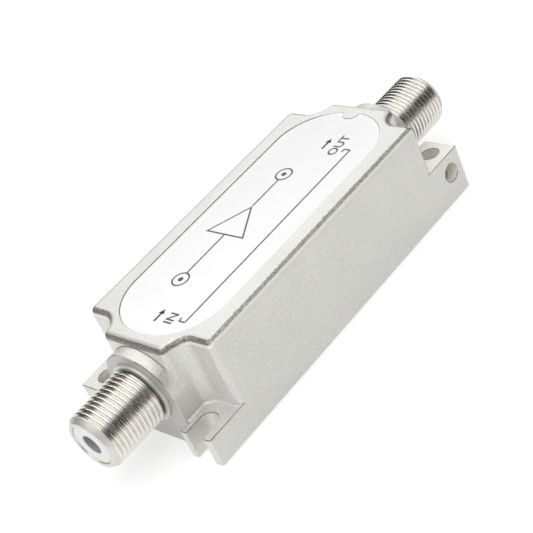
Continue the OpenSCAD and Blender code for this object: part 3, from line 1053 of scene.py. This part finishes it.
@dataclass
class LabelPrint:
    """Plain print on the label: a feed line, the two ends and the sign for an amplifier."""

    top: float = 16.65
    ink: float = 0.012
    line: float = 0.28
    letter: float = 2.3
    bold: float = 0.04
    curve_steps: int = 6
    feed_x: tuple[float, float] = (-22.3, 17.5)
    feed_y: float = -5.7
    hook: tuple[float, float] = (0.7, 1.2)
    words: tuple[tuple[str, float], ...] = (("IN", -22.2), ("OUT", 18.2))
    word_y: float = -3.6
    arrow_y: float = -0.4
    arrow_reach: float = 2.6
    shaft: float = 0.4
    sign: tuple[float, float] = (-2.5, 2.0)
    sign_r: float = 4.6
    ports_x: tuple[float, float] = (-15.0, 10.0)
    port_r: float = 1.5
    pin_r: float = 0.45
    crisp_angle: float = 20.0
    work: Workpiece = field(default_factory=Workpiece)

    def place(self, verts: list, x: float, y: float, size: tuple[float, float] = (1, 1),
              turn: float = 0.0) -> None:
        """Sizes, turns and moves new vertices on the label.

        Args:
            verts: Vertices around the origin.
            x: Place along the label.
            y: Place across the label.
            size: Stretch along and across.
            turn: Turn in degrees.
        """
        bmesh.ops.scale(self.work.bm, vec=(*size, 1), verts=verts)
        bmesh.ops.rotate(self.work.bm, verts=verts, matrix=Matrix.Rotation(math.radians(turn), 3, "Z"))
        bmesh.ops.translate(self.work.bm, vec=(x, y, self.top), verts=verts)

    def bar(self, start: tuple[float, float], stop: tuple[float, float],
            width: float | None = None) -> None:
        """Draws a straight bar.

        Args:
            start: First end.
            stop: Other end.
            width: Width of the bar, if it isn't that of a line.
        """
        (x0, y0), (x1, y1) = start, stop
        verts = bmesh.ops.create_grid(self.work.bm, x_segments=1, y_segments=1, size=0.5)["verts"]
        size = (math.hypot(x1 - x0, y1 - y0), width or self.line)
        turn = math.degrees(math.atan2(y1 - y0, x1 - x0))
        self.place(verts, (x0 + x1) / 2, (y0 + y1) / 2, size, turn)

    def ring(self, x: float, y: float, radius: float, sides: int, hollow: bool = True) -> None:
        """Draws a ring, or a regular shape with few sides and one corner on +X.

        Args:
            x: Middle along the label.
            y: Middle across the label.
            radius: Outer radius.
            sides: Number of sides.
            hollow: Whether only the outline is drawn.
        """
        bm = self.work.bm
        verts = bmesh.ops.create_circle(bm, cap_ends=True, segments=sides, radius=radius)["verts"]
        first = max(verts, key=lambda v: v.co.y)
        self.place(verts, x, y, turn=-math.degrees(math.atan2(first.co.y, first.co.x)))
        face = verts[0].link_faces[0]
        if hollow:
            bmesh.ops.inset_region(bm, faces=[face], thickness=self.line, use_boundary=True,
                                   use_even_offset=True)
            bmesh.ops.delete(bm, geom=[face], context="FACES")

    def word(self, text: str, x: float, y: float) -> None:
        """Sets a word of the two ends.

        Args:
            text: The word.
            x: Middle along the label.
            y: Base line across the label.
        """
        curve = bpy.data.curves.new("word", "FONT")
        curve.body = text
        curve.size = self.letter
        curve.offset = self.bold
        curve.align_x = "CENTER"
        curve.resolution_u = self.curve_steps
        letters = bpy.data.objects.new("word", curve)
        mesh = bpy.data.meshes.new_from_object(letters)
        mesh.transform(Matrix.Translation((x, y, self.top)))
        self.work.bm.from_mesh(mesh)
        bpy.data.meshes.remove(mesh)
        bpy.data.objects.remove(letters)
        bpy.data.curves.remove(curve)

    def arrow(self, x: float, y: float) -> None:
        """Draws an arrow toward +X.

        Args:
            x: Middle along the label.
            y: Place across the label.
        """
        head = self.arrow_reach / 4
        self.bar((x - self.arrow_reach / 2, y), (x + head, y), self.shaft)
        self.ring(x + head, y, head, sides=3, hollow=False)

    def build(self) -> bpy.types.Object:
        """Draws the print and gives it the thickness of ink.

        Returns:
            The piece.
        """
        self.feed()
        for text, x in self.words:
            self.word(text, x, self.word_y)
            self.arrow(x, self.arrow_y)
        self.amplifier()
        bm = self.work.bm
        raised = bmesh.ops.extrude_face_region(bm, geom=list(bm.faces), use_keep_orig=True)["geom"]
        verts = [v for v in raised if isinstance(v, bmesh.types.BMVert)]
        bmesh.ops.translate(bm, vec=(0, 0, self.ink), verts=verts)
        bmesh.ops.recalc_face_normals(bm, faces=bm.faces)
        return self.work.finish("label_print", GREY_INK, crisp=self.crisp_angle)

    def feed(self) -> None:
        """Draws the feed line, with a hook up and inward at each end."""
        left, right = self.feed_x
        inward, rise = self.hook
        base, high = self.feed_y, self.feed_y + rise
        self.bar((left, base), (right, base))
        for x, side in ((left, 1), (right, -1)):
            self.bar((x, base), (x, high))
            self.bar((x, high), (x + side * inward, high))

    def amplifier(self) -> None:
        """Draws the sign for an amplifier, between its two ports."""
        x, y = self.sign
        for port in self.ports_x:
            self.ring(port, y, self.port_r, sides=40)
            self.ring(port, y, self.pin_r, sides=20, hollow=False)
        self.ring(x, y, self.sign_r, sides=3)
        left, right = self.ports_x
        self.bar((left + self.port_r, y), (x - self.sign_r / 2, y))
        self.bar((x + self.sign_r, y), (right - self.port_r, y))


# Studio


@dataclass(frozen=True)
class Softbox:
    """An even rectangular lamp: its place, what it faces, its size, its brightness and its gloss."""

    name: str
    place: tuple[float, float, float]
    aim: tuple[float, float, float]
    size: tuple[float, float]
    level: float
    mirrored: bool = True

    def build(self) -> None:
        """Hangs the lamp."""
        lamp = bpy.data.lights.new(self.name, "AREA")
        lamp.shape = "RECTANGLE"
        lamp.size, lamp.size_y = self.size
        lamp.energy = self.level * math.pi * lamp.size * lamp.size_y
        holder = bpy.data.objects.new(self.name, lamp)
        facing = (Vector(self.aim) - Vector(self.place)).to_track_quat("-Z", "Y")
        holder.matrix_world = Matrix.Translation(self.place) @ facing.to_matrix().to_4x4()
        holder.visible_camera = False
        holder.visible_glossy = self.mirrored
        bpy.context.scene.collection.objects.link(holder)


@dataclass
class Studio:
    """Pale floor, three overhead softboxes, two fill lamps that add no gloss, and a dim room."""

    floor_size: float = 8.0
    floor_drop: float = 0.0002
    floor_tone: float = 0.5
    floor_rough: float = 0.9
    floor_glow: float = 0.6
    room: float = 0.03
    boxes: tuple[Softbox, ...] = (
        Softbox("near_softbox", (-0.15, -0.1, 0.6), (-0.15, -0.1, 0.0), (1.1, 0.84), 1.55),
        Softbox("far_softbox", (0.9, -0.2, 0.6), (0.9, -0.2, 0.0), (1.0, 0.4), 1.4),
        Softbox("back_softbox", (0.75, 0.8, 0.6), (0.75, 0.8, 0.0), (1.3, 0.9), 1.6),
        Softbox("front_softbox", (-1.0, -0.3, 0.6), (-1.0, -0.3, 0.0), (1.0, 1.5), 1.25, False),
        Softbox("side_softbox", (-0.95, -0.2, 0.3), (0.0, 0.0, 0.05), (1.6, 0.6), 1.3, False),
    )

    def build(self) -> None:
        """Makes the floor, the lamps and the room."""
        self.floor()
        for box in self.boxes:
            box.build()
        world = bpy.data.worlds.new("room")
        world.use_nodes = True
        tone = (self.room,) * 3 + (1,)
        world.node_tree.nodes["Background"].inputs["Color"].default_value = tone
        bpy.context.scene.world = world
        bpy.context.scene.view_settings.view_transform = "Standard"

    def floor(self) -> None:
        """Floor that looks white to the camera and in reflections, and keeps the shadow."""
        bm = bmesh.new()
        bmesh.ops.create_grid(bm, x_segments=1, y_segments=1, size=self.floor_size / 2)
        bmesh.ops.translate(bm, vec=(0, 0, -self.floor_drop), verts=bm.verts)
        mesh = bpy.data.meshes.new("floor")
        bm.to_mesh(mesh)
        bm.free()
        floor = bpy.data.objects.new("floor", mesh)
        bpy.context.scene.collection.objects.link(floor)
        sheet = Sheet("floor_paper")
        paper = sheet.done(Base_Color=(self.floor_tone,) * 3 + (1,), Roughness=self.floor_rough)
        path = sheet.add("ShaderNodeLightPath").outputs
        seen = sheet.calc("ADD", path["Is Camera Ray"], path["Is Glossy Ray"])
        seen = sheet.calc("ADD", seen, path["Is Transmission Ray"])
        level = sheet.calc("MULTIPLY", seen, self.floor_glow)
        glow = sheet.add("ShaderNodeEmission", {"Strength": level})
        both = sheet.add("ShaderNodeAddShader", {0: sheet.shader.outputs[0], 1: glow.outputs[0]})
        clear = sheet.add("ShaderNodeBsdfTransparent")
        under = sheet.add("ShaderNodeNewGeometry").outputs["Backfacing"]
        mix = sheet.add("ShaderNodeMixShader", {0: under, 1: both.outputs[0], 2: clear.outputs[0]})
        sheet.links.new(mix.outputs[0], sheet.nodes["Material Output"].inputs["Surface"])
        mesh.materials.append(paper)


@dataclass
class Viewpoint:
    """Camera of the photograph."""

    place: tuple[float, float, float] = (-0.10323, -0.14397, 0.12560)
    aim: tuple[float, float, float] = (-0.00236, -0.00089, 0.009)
    roll: float = -25.315
    lens: float = 94.53
    sensor: float = 36.0
    clip: float = 0.01

    def build(self) -> None:
        """Makes the camera and hands it to the scene."""
        data = bpy.data.cameras.new("camera")
        data.lens, data.sensor_width = self.lens, self.sensor
        data.clip_start = self.clip
        camera = bpy.data.objects.new("camera", data)
        level = (Vector(self.aim) - Vector(self.place)).to_track_quat("-Z", "Y").to_matrix()
        turned = level @ Matrix.Rotation(math.radians(self.roll), 3, "Z")
        camera.matrix_world = Matrix.Translation(self.place) @ turned.to_4x4()
        bpy.context.scene.collection.objects.link(camera)
        bpy.context.scene.camera = camera


# The whole


def dress_nodes() -> None:
    """Gives each CAD node that stays its finish."""
    for finish, names in DRESSED_NODES.items():
        for name in names:
            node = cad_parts[name]
            node.data.materials.clear()
            node.data.materials.append(finish.material())


def main() -> None:
    """Builds the studio and the part."""
    logging.basicConfig(level=logging.INFO, format="%(message)s")
    Viewpoint().build()
    Studio().build()
    dress_nodes()
    Casting().build()
    for end in End:
        ThreadedBarrel().build(end)
        FrontInsulator().build(end)
    BasePlate().build()
    LabelFilm().build()
    LabelPrint().build()


if __name__ == "__main__":
    main()
